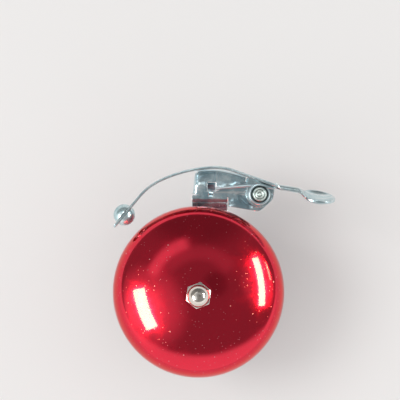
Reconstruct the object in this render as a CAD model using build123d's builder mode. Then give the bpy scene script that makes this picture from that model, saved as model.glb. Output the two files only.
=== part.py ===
"""Bicycle bell: aluminium dome, steel bracket, sprung thumb lever with a striker ball, and a handlebar clamp.

Origin: centre of the handlebar bore. +X runs along the handlebar towards the thumb pad, +Y points to the
lever side of the dome, +Z is the dome's axis, away from the handlebar. All sizes are in millimetres.
"""
from build123d import *
from math import asin, atan2, cos, degrees, radians, sin, sqrt
import os

# ---------------------------------------------------------------- driving dimensions
# handlebar clamp
bar_r = 11.1                    # 22.2 mm handlebar
liner_t = 1.6
liner_width = 14.0
liner_rim = 0.9                 # height of the liner's side rims above its outer surface
band_t = 1.2
band_width = 12.0
band_flat = 10.0                # length of the flat seat on top of the band
seat_gap = 0.9                  # room above the liner for the centre screw's head
slit = 3.0                      # gap between the two clamp lugs
lug_y = -19.5                   # clamp screw's place
lug_reach = 5.6                 # lug length past the clamp screw

# dome
dome_r = 30.0
wall = 1.2
side_h = 6.0                    # straight cylindrical part above the rim
shoulder_r = 10.0
crown_r = 46.3
seat_r = 4.8                    # small flat under the acorn nut

# bracket
sheet = 1.5
drop = 4.0                      # how far the base plate lies below the rim plane
base_r = 8.0                    # rounded end of the base plate, round the centre screw
neck_left = -2.3
neck_right = 10.3
bend_r = 1.8
flange_depth = 4.2

# pivot and lever
pivot = (21.4, 34.1)
bush_r = 2.5
bush_fit = 0.06                 # radial running clearance between the bush and the lever's ear
strip_t = 0.9
strip_width = 8.0
strip_lift = 0.8                # lever's rear edge above the pivot plate
ear_r = 4.65
ball = (-26.0, 26.9)
ball_r = 3.75
tail_angle = 50.1               # direction of the strip where it holds the ball
arm_angle = -9.0
pad_r = 6.1
pad_tilt = 18.0

# torsion spring
wire_r = 0.45
coil_r = 3.35
coil_pitch = 1.0
coil_turns = 3
spring_hole = (6.5, 36.15)      # where the fixed leg goes through the pivot plate

# screws
m5_r = 2.48
m5_hole = 2.7
m4_r = 1.98
m4_hole = 2.2
rivet_hole_r = 1.6

# ---------------------------------------------------------------- heights worked out from them
band_inner = bar_r + liner_t
band_seat = band_inner + seat_gap             # inner face of the band's flat seat
band_top = band_seat + band_t
base_top = band_top + sheet
rim = base_top + drop                         # plane of the dome's rim, and front face of the pivot plate
crown_centre = rim + side_h - sqrt((crown_r - shoulder_r) ** 2 - (dome_r - shoulder_r) ** 2)
crown_angle = degrees(asin((dome_r - shoulder_r) / (crown_r - shoulder_r)))
seat_angle = degrees(asin(seat_r / crown_r))
dome_seat = crown_centre + crown_r * cos(radians(seat_angle))
dome_inside = crown_centre + (crown_r - wall) * cos(radians(seat_angle))
strip_rear = rim + strip_lift
strip_mid = strip_rear + strip_width / 2
ball_z = strip_mid
coil_rear = rim + 2.3            # centre of the wire where the fixed leg leaves the coil
front = Plane.XY.offset(rim)

os.makedirs("parts", exist_ok=True)


def save(piece, name):
    """Label a finished piece and write it as its own STEP file."""
    piece.part.label = name
    export_step(piece.part, f"parts/{name}.step")


def washer(name, outer, inner, bottom, thickness, centre=(0, 0), edge=0.15, gap=0):
    """A flat washer; with a gap it is a split lock washer."""
    with BuildPart() as ring:
        with BuildSketch(Plane.XY.offset(bottom)):
            with Locations(centre):
                Circle(outer)
                Circle(inner, mode=Mode.SUBTRACT)
                if gap:
                    with Locations((outer, 0)):
                        Rectangle(outer * 2 - inner, gap, rotation=20, mode=Mode.SUBTRACT)
        extrude(amount=thickness)
        if edge:
            chamfer(ring.edges().filter_by(GeomType.CIRCLE).group_by(Edge.length)[-1], edge)
    save(ring, name)


def cross_recess(plane, size, width, depth):
    """Cut a cross-shaped driver recess into the part being built; the plane faces out of the head."""
    with BuildSketch(plane) as recess:
        Rectangle(size, width)
        Rectangle(width, size)
    extrude(recess.sketch, amount=-depth, mode=Mode.SUBTRACT)


# ---------------------------------------------------------------- dome
def bell_profile(inset):
    """Half section of the dome's outer shape, moved inwards by inset."""
    side = Line((dome_r - inset, rim), (dome_r - inset, rim + side_h))
    shoulder = JernArc(side @ 1, side % 1, shoulder_r - inset, 90 - crown_angle)
    crown = JernArc(shoulder @ 1, shoulder % 1, crown_r - inset, crown_angle - seat_angle)
    top = Line(crown @ 1, (0, (crown @ 1).Y))
    axis = Line(top @ 1, (0, rim))
    Line(axis @ 1, side @ 0)


with BuildPart() as dome:
    with BuildSketch(Plane.XZ):
        with BuildLine():
            bell_profile(0)
        make_face()
    revolve(axis=Axis.Z)
    with BuildSketch(Plane.XZ):
        with BuildLine():
            bell_profile(wall)
        make_face()
    revolve(axis=Axis.Z, mode=Mode.SUBTRACT)
    with BuildSketch(Plane.XY.offset(rim)):
        Circle(m5_hole)
    extrude(amount=dome_r, mode=Mode.SUBTRACT)
    fillet(dome.edges().group_by(Axis.Z)[0], wall * 0.35)
save(dome, "dome")

# ---------------------------------------------------------------- acorn nut, screw, spacer and washers
nut_apothem = 4.0
nut_hex_h = 4.0
nut_h = 10.0
nut_dome_r = 3.75
nut_depth = 7.5                 # blind threaded hole

with BuildPart() as acorn_nut:
    with BuildSketch(Plane.XY.offset(dome_seat)):
        RegularPolygon(nut_apothem, 6, major_radius=False, rotation=21)
    extrude(amount=nut_hex_h)
    with BuildSketch(Plane.XZ):
        with BuildLine():
            Polyline(
                (0, dome_seat),
                (nut_apothem, dome_seat),
                (nut_apothem * 1.2, dome_seat + 0.5),
                (nut_apothem * 1.2, dome_seat + nut_hex_h - 0.6),
                (nut_dome_r, dome_seat + nut_hex_h),
                (0, dome_seat + nut_hex_h),
                close=True,
            )
        make_face()
    revolve(axis=Axis.Z, mode=Mode.INTERSECT)
    with BuildSketch(Plane.XY.offset(dome_seat + 1)):
        Circle(nut_dome_r)
    extrude(amount=nut_h - nut_dome_r - 1)
    with Locations((0, 0, dome_seat + nut_h - nut_dome_r)):
        Sphere(nut_dome_r)
    with BuildSketch(Plane.XY.offset(dome_seat)):
        Circle(m5_r + 0.02)
    extrude(amount=nut_depth, mode=Mode.SUBTRACT)
save(acorn_nut, "acorn_nut")

washer_t = 1.0
lock_t = 1.2
washer("dome_washer", 4.6, m5_hole, dome_inside - washer_t, washer_t)
washer("base_washer", 5.0, m5_hole, base_top, washer_t)
washer("lock_washer", 4.6, m5_hole, base_top + washer_t, lock_t, edge=0, gap=1.2)

post_bottom = base_top + washer_t + lock_t
post_top = dome_inside - washer_t
post_r = 4.0
with BuildPart() as spacer_tube:
    with BuildSketch(Plane.XY.offset(post_bottom)):
        Circle(post_r)
        Circle(m5_hole, mode=Mode.SUBTRACT)
    extrude(amount=post_top - post_bottom)
    chamfer(spacer_tube.edges().filter_by(GeomType.CIRCLE), 0.25)
save(spacer_tube, "spacer_tube")

screw_head_r = 4.2
screw_head_h = 1.9
screw_length = 35.0
with BuildPart() as centre_screw:
    with BuildSketch(Plane.XY.offset(band_seat - screw_head_h)):
        Circle(screw_head_r)
    extrude(amount=screw_head_h)
    fillet(centre_screw.edges().group_by(Axis.Z)[0], 0.8)
    with BuildSketch(Plane.XY.offset(band_seat)):
        Circle(m5_r)
    extrude(amount=screw_length)
    chamfer(centre_screw.edges().group_by(Axis.Z)[-1], 0.5)
    cross_recess(Plane((0, 0, band_seat - screw_head_h), z_dir=(0, 0, -1)), 3.6, 0.9, 1.2)
save(centre_screw, "centre_screw")

# ---------------------------------------------------------------- bracket
plate_left = -1.1
plate_top = 42.85                             # as near the strip as its travel allows
shoulder = (8.3, plate_top)                   # where the plate's top edge starts to slope down
slope_end = (17.0, 40.55)
neck_y = 32.2                                 # where the plate starts to bend back under the dome
lower_y = 29.9                                # where the plate's lower edge meets the neck
flange_start = 34.2                           # lower end of the left flange, clear of the neck's bend
window_x = (3.1, 6.3)                         # upper, wide part of the window
window_y = (35.3, 38.4)
slot_x = (3.6, 5.3)                           # lower, narrow part of the window
slot_y = 33.2
tongue_right = 6.0                            # the tongue's head leaves room for the spring's fixed leg
tongue_gap = 0.05                             # shear gap between the tongue and the window
tongue_t = 1.1
tongue_length = 4.9
tongue_fold = 25.0

lean = (plate_left - neck_left) / (plate_top - neck_y + 0.2)


def flange_inside(y):
    """X of the left flange's inner face, which leans like the plate's left edge."""
    return neck_left + lean * (y - neck_y + 0.2) + sheet


with BuildPart() as bracket:
    # pressed pan: the pivot plate with a flange turned back along its left and top edges
    with BuildSketch(front):
        with BuildLine():
            outline = FilletPolyline(
                (neck_left, neck_y - 0.2),
                (plate_left, plate_top),
                shoulder,
                slope_end,
                radius=[2.2, 14],
            )
            step = Line(outline @ 1, (outline @ 1) - (0, 0.5))
            end = FilletPolyline(
                step @ 1,
                (26.9, 36.6),
                (26.6, 32.4),
                (21.6, 28.0),
                (neck_right, lower_y),
                radius=[1.6, 5.0, 2.5],
            )
            Polyline(end @ 1, (neck_right, neck_y - 0.2), outline @ 0)
        make_face()
    extrude(amount=-flange_depth)
    outer_edges = bracket.edges().filter_by(lambda e: abs(e.center().Z - rim) < 0.01)
    outer_edges = outer_edges.filter_by(lambda e: e.center().X < plate_left + 0.7 or e.center().Y > 40.5)
    fillet(outer_edges, bend_r)
    with BuildSketch(front.offset(-sheet)):
        with BuildLine():
            Polyline(
                (neck_left - 1, neck_y - 5),
                (neck_left - 1, flange_start),
                (flange_inside(flange_start), flange_start),
                (flange_inside(plate_top - sheet), plate_top - sheet),
                (shoulder[0] - 0.5, plate_top - sheet),
                (slope_end[0] + 0.5, slope_end[1] - sheet),
                (slope_end[0] + 0.5, plate_top),
                (30, plate_top),
                (30, neck_y - 5),
                close=True,
            )
        make_face()
    extrude(amount=-flange_depth, mode=Mode.SUBTRACT)
    # neck bending back under the rim, and the base plate on the clamp band
    with BuildSketch(Plane.YZ.offset(neck_left)):
        with BuildLine():
            neck = FilletPolyline(
                (neck_y + 1.5, rim - sheet / 2),
                (neck_y - 0.2, rim - sheet / 2),
                (29.4, base_top - sheet / 2),
                (27.4, base_top - sheet / 2),
                radius=1.6,
            )
        trace(neck.wire(), line_width=sheet)
    extrude(amount=neck_right - neck_left)
    with BuildSketch(Plane.XY.offset(band_top)):
        with BuildLine():
            CenterArc((0, 0), base_r, 0, 360)
            Line((neck_left, 28), (neck_right, 28))
        make_hull()
    extrude(amount=sheet)
    # window with a side notch for the spring's fixed leg, and the holes for the rivet and the centre screw
    with BuildSketch(front):
        with Locations(((window_x[0] + window_x[1]) / 2, (window_y[0] + window_y[1]) / 2)):
            RectangleRounded(window_x[1] - window_x[0], window_y[1] - window_y[0], 0.3)
        with Locations(((slot_x[0] + slot_x[1]) / 2, slot_y)):
            Rectangle(slot_x[1] - slot_x[0], window_y[0] + 1 - slot_y, align=(Align.CENTER, Align.MIN))
        with Locations(((window_x[1] + spring_hole[0]) / 2, spring_hole[1])):
            SlotOverall(2.2, 1.2)
        with Locations(pivot):
            Circle(rivet_hole_r)
    extrude(amount=-sheet, mode=Mode.SUBTRACT)
    with BuildSketch(Plane.XY.offset(band_top)):
        Circle(m5_hole + 0.05)
    extrude(amount=sheet, mode=Mode.SUBTRACT)
    # T-shaped tongue lanced out of the window and folded back, away from the lever
    with BuildSketch(Plane.YZ.offset(slot_x[0] + tongue_gap)):
        with BuildLine():
            root = Line((slot_y - 0.6, rim - sheet / 2), (slot_y, rim - sheet / 2))
            fold = JernArc(root @ 1, root % 1, 1.15, -tongue_fold)
            stem = PolarLine(fold @ 1, tongue_length, direction=fold % 1)
        trace(Wire([root, fold, stem]), line_width=tongue_t)
    extrude(amount=slot_x[1] - slot_x[0] - 2 * tongue_gap)
    with BuildSketch(Plane.YZ.offset(window_x[0] + tongue_gap)):
        with BuildLine():
            head = Line(stem @ 0.36, stem @ 1)
        trace(Wire([head]), line_width=tongue_t)
    extrude(amount=tongue_right - window_x[0] - tongue_gap)
save(bracket, "bracket")

# ---------------------------------------------------------------- clamp band, liner, screw, washer and nut


def band_hull():
    """Bar-shaped loop with a flat seat on top, seen along the handlebar."""
    with BuildLine() as loop:
        CenterArc((0, 0), band_inner, 0, 360)
        Line((-band_flat / 2, band_seat), (band_flat / 2, band_seat))
    make_hull(loop.edges())


lug_z = slit / 2
lug_corner_r = 4.5
head_hole_r = 5.0                             # room in the liner for the centre screw's head
with BuildPart() as clamp_band:
    with BuildSketch(Plane.YZ):
        band_hull()
        offset(amount=band_t)
    extrude(amount=band_width / 2, both=True)
    with BuildSketch(Plane.YZ):
        with Locations((lug_y - lug_reach, 0)):
            Rectangle(abs(lug_y) + lug_reach - band_inner, slit + 2 * band_t, align=(Align.MIN, Align.CENTER))
    extrude(amount=band_width / 2, both=True)
    with BuildSketch(Plane.YZ):
        band_hull()
        with Locations((lug_y - lug_reach, 0)):
            Rectangle(abs(lug_y) + lug_reach, slit, align=(Align.MIN, Align.CENTER))
    extrude(amount=band_width, both=True, mode=Mode.SUBTRACT)
    roots = clamp_band.edges().filter_by(Axis.X).filter_by(
        lambda e: abs(abs(e.center().Z) - lug_z - band_t) < 0.01 and -14 < e.center().Y < -13
    )
    fillet(roots, 1.5)
    corners = clamp_band.edges().filter_by(Axis.Z).group_by(Axis.Y)[0]
    fillet(corners, lug_corner_r)
    with BuildSketch(Plane.XY.offset(-lug_z - band_t)):
        with Locations((0, lug_y)):
            Circle(m4_hole)
    extrude(amount=slit + 2 * band_t, mode=Mode.SUBTRACT)
    with BuildSketch(Plane.XY.offset(band_seat)):
        Circle(m5_hole + 0.05)
    extrude(amount=band_t, mode=Mode.SUBTRACT)
save(clamp_band, "clamp_band")

with BuildPart() as clamp_liner:
    with BuildSketch(Plane.YZ):
        Circle(band_inner)
    extrude(amount=liner_width / 2, both=True)
    rim_width = (liner_width - band_width) / 2
    with BuildSketch(Plane.YZ.offset(band_width / 2), Plane.YZ.offset(-liner_width / 2)):
        Circle(band_inner + liner_rim)
    extrude(amount=rim_width)
    with BuildSketch(Plane.YZ):
        Circle(bar_r)
        with Locations((0, 0)):
            Rectangle(band_inner * 2, slit, align=(Align.MAX, Align.CENTER))
    extrude(amount=liner_width, both=True, mode=Mode.SUBTRACT)
    with BuildSketch(Plane.XY.offset(bar_r / 2)):
        Circle(head_hole_r)
    extrude(amount=bar_r, mode=Mode.SUBTRACT)
save(clamp_liner, "clamp_liner")

lug_bottom = -lug_z - band_t
lug_top = lug_z + band_t
clamp_washer_t = 0.8
clamp_lock_t = 0.9
clamp_head_r = 3.9
clamp_head_h = 2.6
clamp_screw_length = 12.0
clamp_nut_apothem = 3.5
clamp_nut_h = 3.2
washer("clamp_washer", 4.5, m4_hole, lug_bottom - clamp_washer_t, clamp_washer_t, centre=(0, lug_y))
washer("clamp_lock_washer", 3.6, m4_hole, lug_top, clamp_lock_t, centre=(0, lug_y), edge=0, gap=0.9)

head_top = lug_bottom - clamp_washer_t
with BuildPart() as clamp_screw:
    with BuildSketch(Plane.XY.offset(head_top - clamp_head_h)):
        with Locations((0, lug_y)):
            Circle(clamp_head_r)
    extrude(amount=clamp_head_h)
    fillet(clamp_screw.edges().group_by(Axis.Z)[0], 1.4)
    with BuildSketch(Plane.XY.offset(head_top)):
        with Locations((0, lug_y)):
            Circle(m4_r)
    extrude(amount=clamp_screw_length)
    chamfer(clamp_screw.edges().group_by(Axis.Z)[-1], 0.4)
    cross_recess(Plane((0, lug_y, head_top - clamp_head_h), z_dir=(0, 0, -1)), 3.8, 0.9, 1.5)
save(clamp_screw, "clamp_screw")

with BuildPart() as clamp_nut:
    with BuildSketch(Plane.XY.offset(lug_top + clamp_lock_t)):
        with Locations((0, lug_y)):
            RegularPolygon(clamp_nut_apothem, 6, major_radius=False)
            Circle(m4_r + 0.02, mode=Mode.SUBTRACT)
    extrude(amount=clamp_nut_h)
save(clamp_nut, "clamp_nut")

# ---------------------------------------------------------------- pivot: washer, bush and rivet
pivot_washer_t = strip_lift - 0.1
bush_h = 6.4
bush_bore_r = 1.6
shank_r = 1.55
rivet_head_r = 2.35
rivet_head_h = 1.1
rivet_tail_r = 2.6
rivet_tail_h = 0.9
washer("pivot_washer", 4.0, bush_r + 0.05, rim, pivot_washer_t, centre=pivot)

with BuildPart() as pivot_bush:
    with BuildSketch(front):
        with Locations(pivot):
            Circle(bush_r)
            Circle(bush_bore_r, mode=Mode.SUBTRACT)
    extrude(amount=bush_h)
save(pivot_bush, "pivot_bush")

with BuildPart() as pivot_rivet:
    with BuildSketch(Plane.XY.offset(rim - sheet - rivet_tail_h)):
        with Locations(pivot):
            Circle(rivet_tail_r)
    extrude(amount=rivet_tail_h)
    fillet(pivot_rivet.edges().group_by(Axis.Z)[0], 0.6)
    with BuildSketch(Plane.XY.offset(rim - sheet)):
        with Locations(pivot):
            Circle(shank_r)
    extrude(amount=sheet + bush_h)
    with BuildSketch(Plane.XY.offset(rim + bush_h)):
        with Locations(pivot):
            Circle(rivet_head_r)
    extrude(amount=rivet_head_h)
    fillet(pivot_rivet.edges().group_by(Axis.Z)[-1], 0.7)
save(pivot_rivet, "pivot_rivet")

# ---------------------------------------------------------------- lever: striker strip, ear, arm and thumb pad
ball_offset = 5.6               # strip past the ball's centre
tail_length = 13.94
shank_length = 15.3
arm_length = 8.2
arm_flange_h = 1.2               # how far the arm's turned-down flanges reach below its centreline
leg_hole_r = 0.58                # hole for the spring's moving leg
tip = (
    ball[0] - ball_offset * cos(radians(tail_angle)),
    ball[1] - ball_offset * sin(radians(tail_angle)),
)
arm_dir = Vector(cos(radians(arm_angle)), sin(radians(arm_angle)), 0)
arm_up = Vector(-sin(radians(arm_angle)), cos(radians(arm_angle)), 0)
pad_normal = arm_up * cos(radians(pad_tilt)) + Vector(0, 0, 1) * sin(radians(pad_tilt))
pad_centre = Vector(41.9, 33.5, strip_mid)
pad_side = arm_dir.cross(pad_normal)
pad_depth = 1.4
pad_section = Plane(pad_centre, x_dir=arm_dir, z_dir=pad_side)

with BuildLine() as spine:
    tail = PolarLine(tip, tail_length, tail_angle)
    hook = JernArc(tail @ 1, tail % 1, 21.4, -25.1)
    crown = JernArc(hook @ 1, hook % 1, 48.5, -21.9)
    turn = JernArc(crown @ 1, crown % 1, 20, -22.6)
    shank = PolarLine(turn @ 1, shank_length, direction=turn % 1)
    kink = JernArc(shank @ 1, shank % 1, 3, 10.5)
    arm = PolarLine(kink @ 1, arm_length, direction=kink % 1)
kink_point = kink @ 0.5
kink_normal = Vector(-(kink % 0.5).Y, (kink % 0.5).X, 0)

with BuildPart() as lever:
    with BuildSketch(Plane.XY.offset(strip_rear)):
        trace(spine.wire(), line_width=strip_t)
    extrude(amount=strip_width)
    # the strip narrows towards the ball
    with BuildSketch(Plane.XZ):
        with BuildLine():
            Polyline((-31, ball_z - 1.9), (-18, ball_z - 1.9), (-6, strip_rear), (-31, strip_rear - 1), close=True)
        make_face()
        with BuildLine():
            Polyline((-31, ball_z + 3), (-18, ball_z + 3), (-6, ball_z + 4), (-31, ball_z + 5), close=True)
        make_face()
    extrude(amount=-60, mode=Mode.SUBTRACT)
    # ear round the pivot bush, folded down from the strip's rear edge
    with BuildSketch(Plane.XY.offset(strip_rear)):
        with BuildLine():
            CenterArc(pivot, ear_r, 0, 360)
            Line(shank @ 0.36, kink @ 0)
        make_hull()
        with Locations(pivot):
            Circle(bush_r + bush_fit, mode=Mode.SUBTRACT)
    extrude(amount=strip_t)
    # the arm's two turned-down side flanges
    with BuildSketch(Plane.XY.offset(strip_rear), Plane.XY.offset(strip_rear + strip_width - strip_t)):
        with BuildLine():
            Polyline(
                kink @ 1,
                (kink @ 1) + arm_dir * 1.6 - arm_up * arm_flange_h,
                (arm @ 1) - arm_up * arm_flange_h,
                arm @ 1,
                close=True,
            )
        make_face()
    extrude(amount=strip_t)
    # neck twisting into the dished thumb pad
    with BuildSketch(Plane(Vector(*(arm @ 1)) + Vector(0, 0, strip_mid), x_dir=(0, 0, 1), z_dir=arm_dir)):
        Rectangle(strip_width, strip_t)
    with BuildSketch(
        Plane(pad_centre - arm_dir * 4.4 - pad_normal * 0.45, x_dir=-pad_side, z_dir=arm_dir)
    ):
        Rectangle(strip_width, strip_t)
    loft()
    with BuildSketch(pad_section):
        with BuildLine():
            edge = Line((pad_r, -0.75), (pad_r, 0.15))
            across = Polyline(edge @ 1, (0, 0.15), (0, -pad_depth - 0.9))
            Spline(across @ 1, (pad_r * 0.6, -1.75), edge @ 0, tangents=[(1, 0), (1, 0.55)])
        make_face()
    revolve(axis=Axis(pad_centre, pad_normal))
    with BuildSketch(pad_section):
        with BuildLine():
            Polyline((pad_r - 0.75, 0.15), (pad_r - 0.75, 1.2), (0, 1.2), (0, -pad_depth))
            Spline((0, -pad_depth), (pad_r * 0.6, -0.85), (pad_r - 0.75, 0.15), tangents=[(1, 0), (1, 1.1)])
        make_face()
    revolve(axis=Axis(pad_centre, pad_normal), mode=Mode.SUBTRACT)
    # hole for the spring's moving leg
    with BuildSketch(
        Plane(Vector(kink_point.X, kink_point.Y, coil_rear + coil_turns * coil_pitch), z_dir=kink_normal)
    ):
        Circle(leg_hole_r)
    extrude(amount=1, both=True, mode=Mode.SUBTRACT)
save(lever, "lever")

with BuildPart() as striker_ball:
    with Locations((ball[0], ball[1], ball_z)):
        Sphere(ball_r)
    with BuildSketch(Plane.XY.offset(ball_z - 1.9)):
        with Locations(ball):
            Rectangle(ball_r * 3, strip_t, rotation=tail_angle)
    extrude(amount=ball_r * 2, mode=Mode.SUBTRACT)
save(striker_ball, "striker_ball")

# ---------------------------------------------------------------- torsion spring: fixed leg, coil, moving leg
hook_length = 1.2
moving_hook = 1.95
hook_z = rim - sheet - wire_r - 0.25          # the fixed leg's hooked end, behind the plate


def coil_tangent(point, side):
    """Where the line from a point outside the coil touches the coil's centre circle, on the chosen side."""
    across = Vector(*pivot) - point
    half = asin(coil_r / across.length)
    heading = atan2(across.Y, across.X) + side * half
    reach = across.length * cos(half)
    return point + Vector(cos(heading), sin(heading)) * reach


def bearing(point):
    """Direction of a point seen from the pivot, in degrees."""
    return degrees(atan2(point.Y - pivot[1], point.X - pivot[0]))


fixed_end = Vector(*spring_hole)
fixed_touch = coil_tangent(fixed_end, 1)
moving_end = Vector(kink_point.X, kink_point.Y) - kink_normal * 1.15
moving_touch = coil_tangent(moving_end, -1)
turns = coil_turns + (bearing(fixed_touch) - bearing(moving_touch)) / 360
coil_front = coil_rear + turns * coil_pitch
to_rear = Vector(0, 0, coil_rear)
to_front = Vector(0, 0, coil_front)
coil_start = Plane(
    Vector(*pivot) + to_rear,
    x_dir=fixed_touch - Vector(*pivot),
    z_dir=(0, 0, 1),
)

with BuildPart() as torsion_spring:
    with BuildLine():
        fixed_leg = FilletPolyline(
            (spring_hole[0] + hook_length, spring_hole[1], hook_z),
            (*spring_hole, hook_z),
            fixed_end + to_rear,
            fixed_touch + to_rear,
            radius=[0.6, 0.8],
        )
    with BuildSketch(Plane(fixed_leg @ 0, z_dir=fixed_leg % 0)):
        Circle(wire_r)
    sweep(path=fixed_leg.wire())
    with BuildLine(coil_start):
        coil = Helix(coil_pitch, turns * coil_pitch, coil_r, lefthand=True)
    with BuildSketch(Plane(coil @ 0, z_dir=coil % 0)):
        Circle(wire_r)
    sweep(path=coil, is_frenet=True)
    with BuildLine():
        moving_leg = FilletPolyline(
            moving_touch + to_front,
            moving_end + to_front,
            moving_end + to_front + kink_normal * moving_hook,
            radius=0.8,
        )
    with BuildSketch(Plane(moving_leg @ 0, z_dir=moving_leg % 0)):
        Circle(wire_r)
    sweep(path=moving_leg.wire())
    with Locations(fixed_touch + to_rear, moving_touch + to_front):
        Sphere(wire_r)
save(torsion_spring, "torsion_spring")
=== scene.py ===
"""Bicycle bell: the visible meshes, materials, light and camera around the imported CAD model.

Shapes are worked out in millimetres in the model's own frame and scaled to metres when a mesh is made.
"""
from math import acos, asin, atan2, ceil, copysign, cos, degrees, hypot, pi, radians, sin, sqrt, tan

import bmesh
import bpy
from mathutils import Matrix, Vector
from mathutils.geometry import tessellate_polygon


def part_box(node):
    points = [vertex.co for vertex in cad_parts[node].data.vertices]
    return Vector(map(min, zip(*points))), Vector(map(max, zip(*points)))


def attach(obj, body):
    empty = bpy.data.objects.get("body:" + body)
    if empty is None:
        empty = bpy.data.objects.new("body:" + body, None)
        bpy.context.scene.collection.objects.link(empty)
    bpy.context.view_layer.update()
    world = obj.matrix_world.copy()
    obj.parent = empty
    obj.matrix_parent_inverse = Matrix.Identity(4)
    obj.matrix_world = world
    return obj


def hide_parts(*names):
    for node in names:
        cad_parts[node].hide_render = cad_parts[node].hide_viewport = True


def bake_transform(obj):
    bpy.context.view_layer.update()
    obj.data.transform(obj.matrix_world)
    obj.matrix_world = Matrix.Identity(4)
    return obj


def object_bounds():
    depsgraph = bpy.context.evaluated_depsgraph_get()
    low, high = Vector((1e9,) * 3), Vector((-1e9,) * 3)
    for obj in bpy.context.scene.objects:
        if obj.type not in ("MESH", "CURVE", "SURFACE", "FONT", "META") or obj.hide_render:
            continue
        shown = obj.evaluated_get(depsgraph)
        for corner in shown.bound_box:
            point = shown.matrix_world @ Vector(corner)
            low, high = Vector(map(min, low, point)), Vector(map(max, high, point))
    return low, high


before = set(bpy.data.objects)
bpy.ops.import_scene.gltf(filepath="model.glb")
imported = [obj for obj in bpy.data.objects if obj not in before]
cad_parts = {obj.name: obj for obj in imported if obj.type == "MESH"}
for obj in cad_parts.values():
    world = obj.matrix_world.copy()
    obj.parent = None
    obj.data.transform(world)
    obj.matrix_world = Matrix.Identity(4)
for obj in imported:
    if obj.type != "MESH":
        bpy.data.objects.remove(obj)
cad_lo, cad_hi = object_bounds()

MM = 0.001
UP = Vector((0, 0, 1))


def corner(node, side):
    """Lowest (side 0) or highest (side 1) corner of a CAD node, in millimetres."""
    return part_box(node)[side] / MM


def heights(node):
    """Lowest and highest z of a CAD node, in millimetres."""
    return corner(node, 0).z, corner(node, 1).z


# ------------------------------------------------ sizes shared by several pieces, in millimetres
rim = corner("dome", 0).z
dome_r = corner("dome", 1).x
wall = 1.2
sheet = 1.5
base_top = corner("base_washer", 0).z
band_top = base_top - sheet
band_t = 1.2
bar_r = 11.1
liner_r = 12.7                  # outside of the rubber liner
lug_screw = (0, -19.5)          # clamp screw
screw_hole = 2.7                # clearance for the M5 screw
sheet_hole = 2.75               # the same, in the bracket and the strap
lug_hole = 2.2                  # clearance for the M4 screw
rivet_hole = 1.6
spring_hole = Vector((6.5, 36.15))      # where the spring's fixed leg goes through the bracket
pivot = Vector((21.4, 34.1))
strip_t = 0.9
strip_width = 8.0
strip_rear = rim + 0.8
strip_front = strip_rear + strip_width
strip_mid = (strip_rear + strip_front) / 2
ball = Vector((-26.0, 26.9))
ball_r = 3.75
tail_angle = 50.1               # direction of the strip where it holds the ball, in degrees
rivet_ring, rivet_crest = 0.92, 0.25    # the rings on the rivet's head: spacing, and radius of the first
smooth_angle = radians(38)      # edges under this angle are shaded smoothly


# ------------------------------------------------ plane geometry
def rounded(points, radius, closed=True, step=9):
    """The points of a polygon or polyline with its corners rounded; radius is a number or one per corner."""
    points = [Vector(p) for p in points]
    count = len(points)
    radii = [radius] * count if isinstance(radius, (int, float)) else list(radius)
    made = []
    for i, here in enumerate(points):
        if not closed and i in (0, count - 1):
            made.append(here)
            continue
        back = (points[i - 1] - here).normalized()
        ahead = (points[(i + 1) % count] - here).normalized()
        between = back.angle(ahead)
        r = radii[i]
        if r <= 0 or between > pi - 1e-3:
            made.append(here)
            continue
        centre = here + (back + ahead).normalized() * (r / sin(between / 2))
        first = here + back * (r / tan(between / 2)) - centre
        last = here + ahead * (r / tan(between / 2)) - centre
        turn = first.angle(last)
        steps = max(2, ceil(degrees(turn) / step))
        for k in range(steps + 1):
            share = k / steps
            spoke = (first * sin((1 - share) * turn) + last * sin(share * turn)) / sin(turn)
            made.append(centre + spoke)
    return made


def unit(angle):
    """Unit vector at an angle in radians."""
    return Vector((cos(angle), sin(angle)))


def bearing(vector):
    """Angle of a vector, in radians."""
    return atan2(vector.y, vector.x)


def aim(start, end):
    """Direction from one point to another, in degrees."""
    return degrees(atan2(end.y - start.y, end.x - start.x))


def circle(x, y, r, count=40):
    """Points of a circle."""
    return [Vector((x + r * cos(2 * pi * k / count), y + r * sin(2 * pi * k / count))) for k in range(count)]


def arc(cx, cy, r, start, end, count):
    """Points on an arc, from start to end in degrees."""
    angles = [radians(start + (end - start) * k / count) for k in range(count + 1)]
    return [Vector((cx + r * cos(a), cy + r * sin(a))) for a in angles]


def ease(x):
    """0 below 0, 1 above 1, and a smooth step between."""
    x = min(1.0, max(0.0, x))
    return x * x * (3 - 2 * x)


def touch(point, centre, r, side):
    """Where the line from a point outside a circle touches it; side 1 is left of the line to its centre."""
    across = Vector(centre) - Vector(point)
    half = asin(r / across.length)
    return Vector(point) + unit(bearing(across) + side * half) * across.length * cos(half)


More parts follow.
